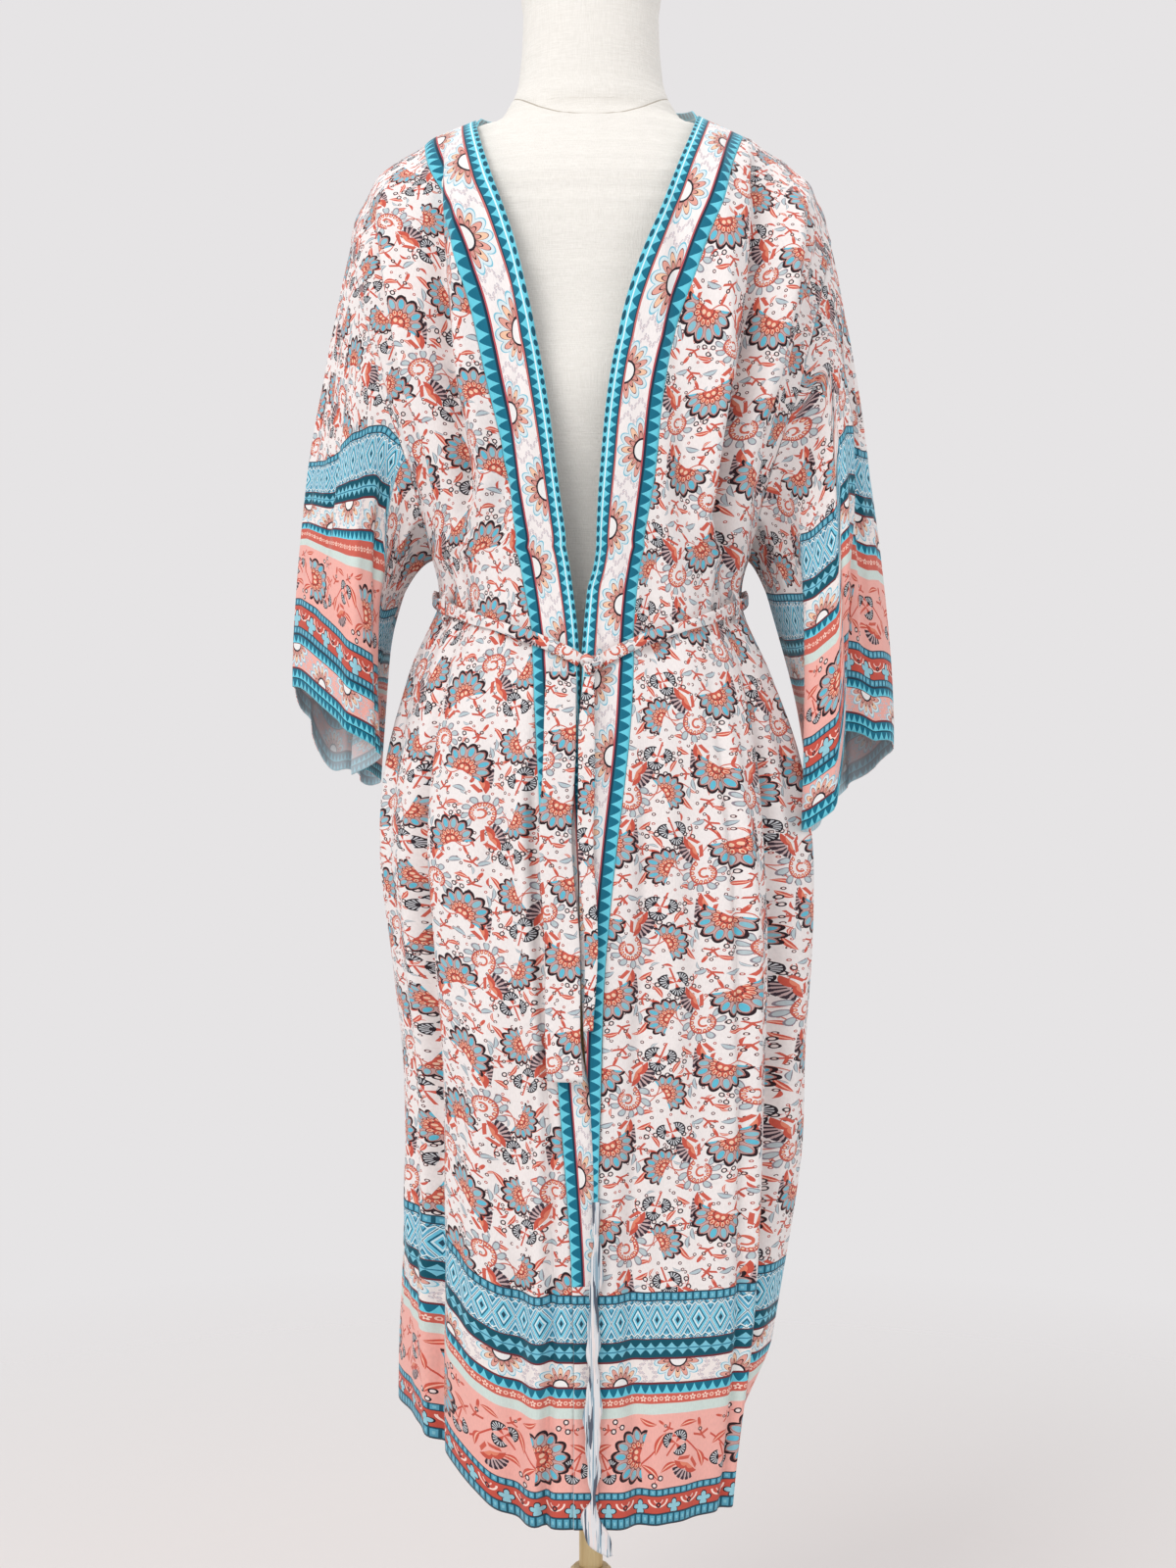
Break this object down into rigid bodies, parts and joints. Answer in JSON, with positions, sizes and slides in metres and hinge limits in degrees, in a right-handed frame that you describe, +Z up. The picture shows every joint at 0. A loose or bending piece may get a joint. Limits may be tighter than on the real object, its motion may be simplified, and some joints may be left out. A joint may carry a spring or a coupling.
{
  "type": "kimono coat on a dress form",
  "caption": "Long open kimono coat in light printed cloth, with wide sleeves, a bordered front band and a tie belt, worn on a limbless dress form on a wooden stand.",
  "frame": {"origin": "on the floor, under the middle of the stand's pole", "axes": "+Z up, -Y out of the coat's front, +X towards the wearer's left"},
  "size_m": [0.54, 0.54, 1.53],
  "materials": {
    "print_cloth": "light printed weave, matt",
    "band_cloth": "light printed weave, matt",
    "linen": "plain linen weave, matt",
    "wood": "pale wood, satin"
  },
  "bodies": {
    "root": {"back_panel": "print_cloth", "front_panel_right": "print_cloth", "front_panel_left": "print_cloth", "sleeve_right": "print_cloth", "sleeve_left": "print_cloth", "belt_right": "print_cloth", "belt_left": "print_cloth", "belt_loop_right": "print_cloth", "belt_loop_left": "print_cloth", "belt_knot": "print_cloth", "tie_end_right": "print_cloth", "tie_end_left": "print_cloth", "front_band_right": "band_cloth", "front_band_left": "band_cloth", "neck_band": "band_cloth", "dress_form": "linen", "stand_hub": "wood", "stand_pole": "wood", "stand_leg_1": "wood", "stand_leg_2": "wood", "stand_leg_3": "wood", "stand_leg_4": "wood"}
  },
  "joints": []
}
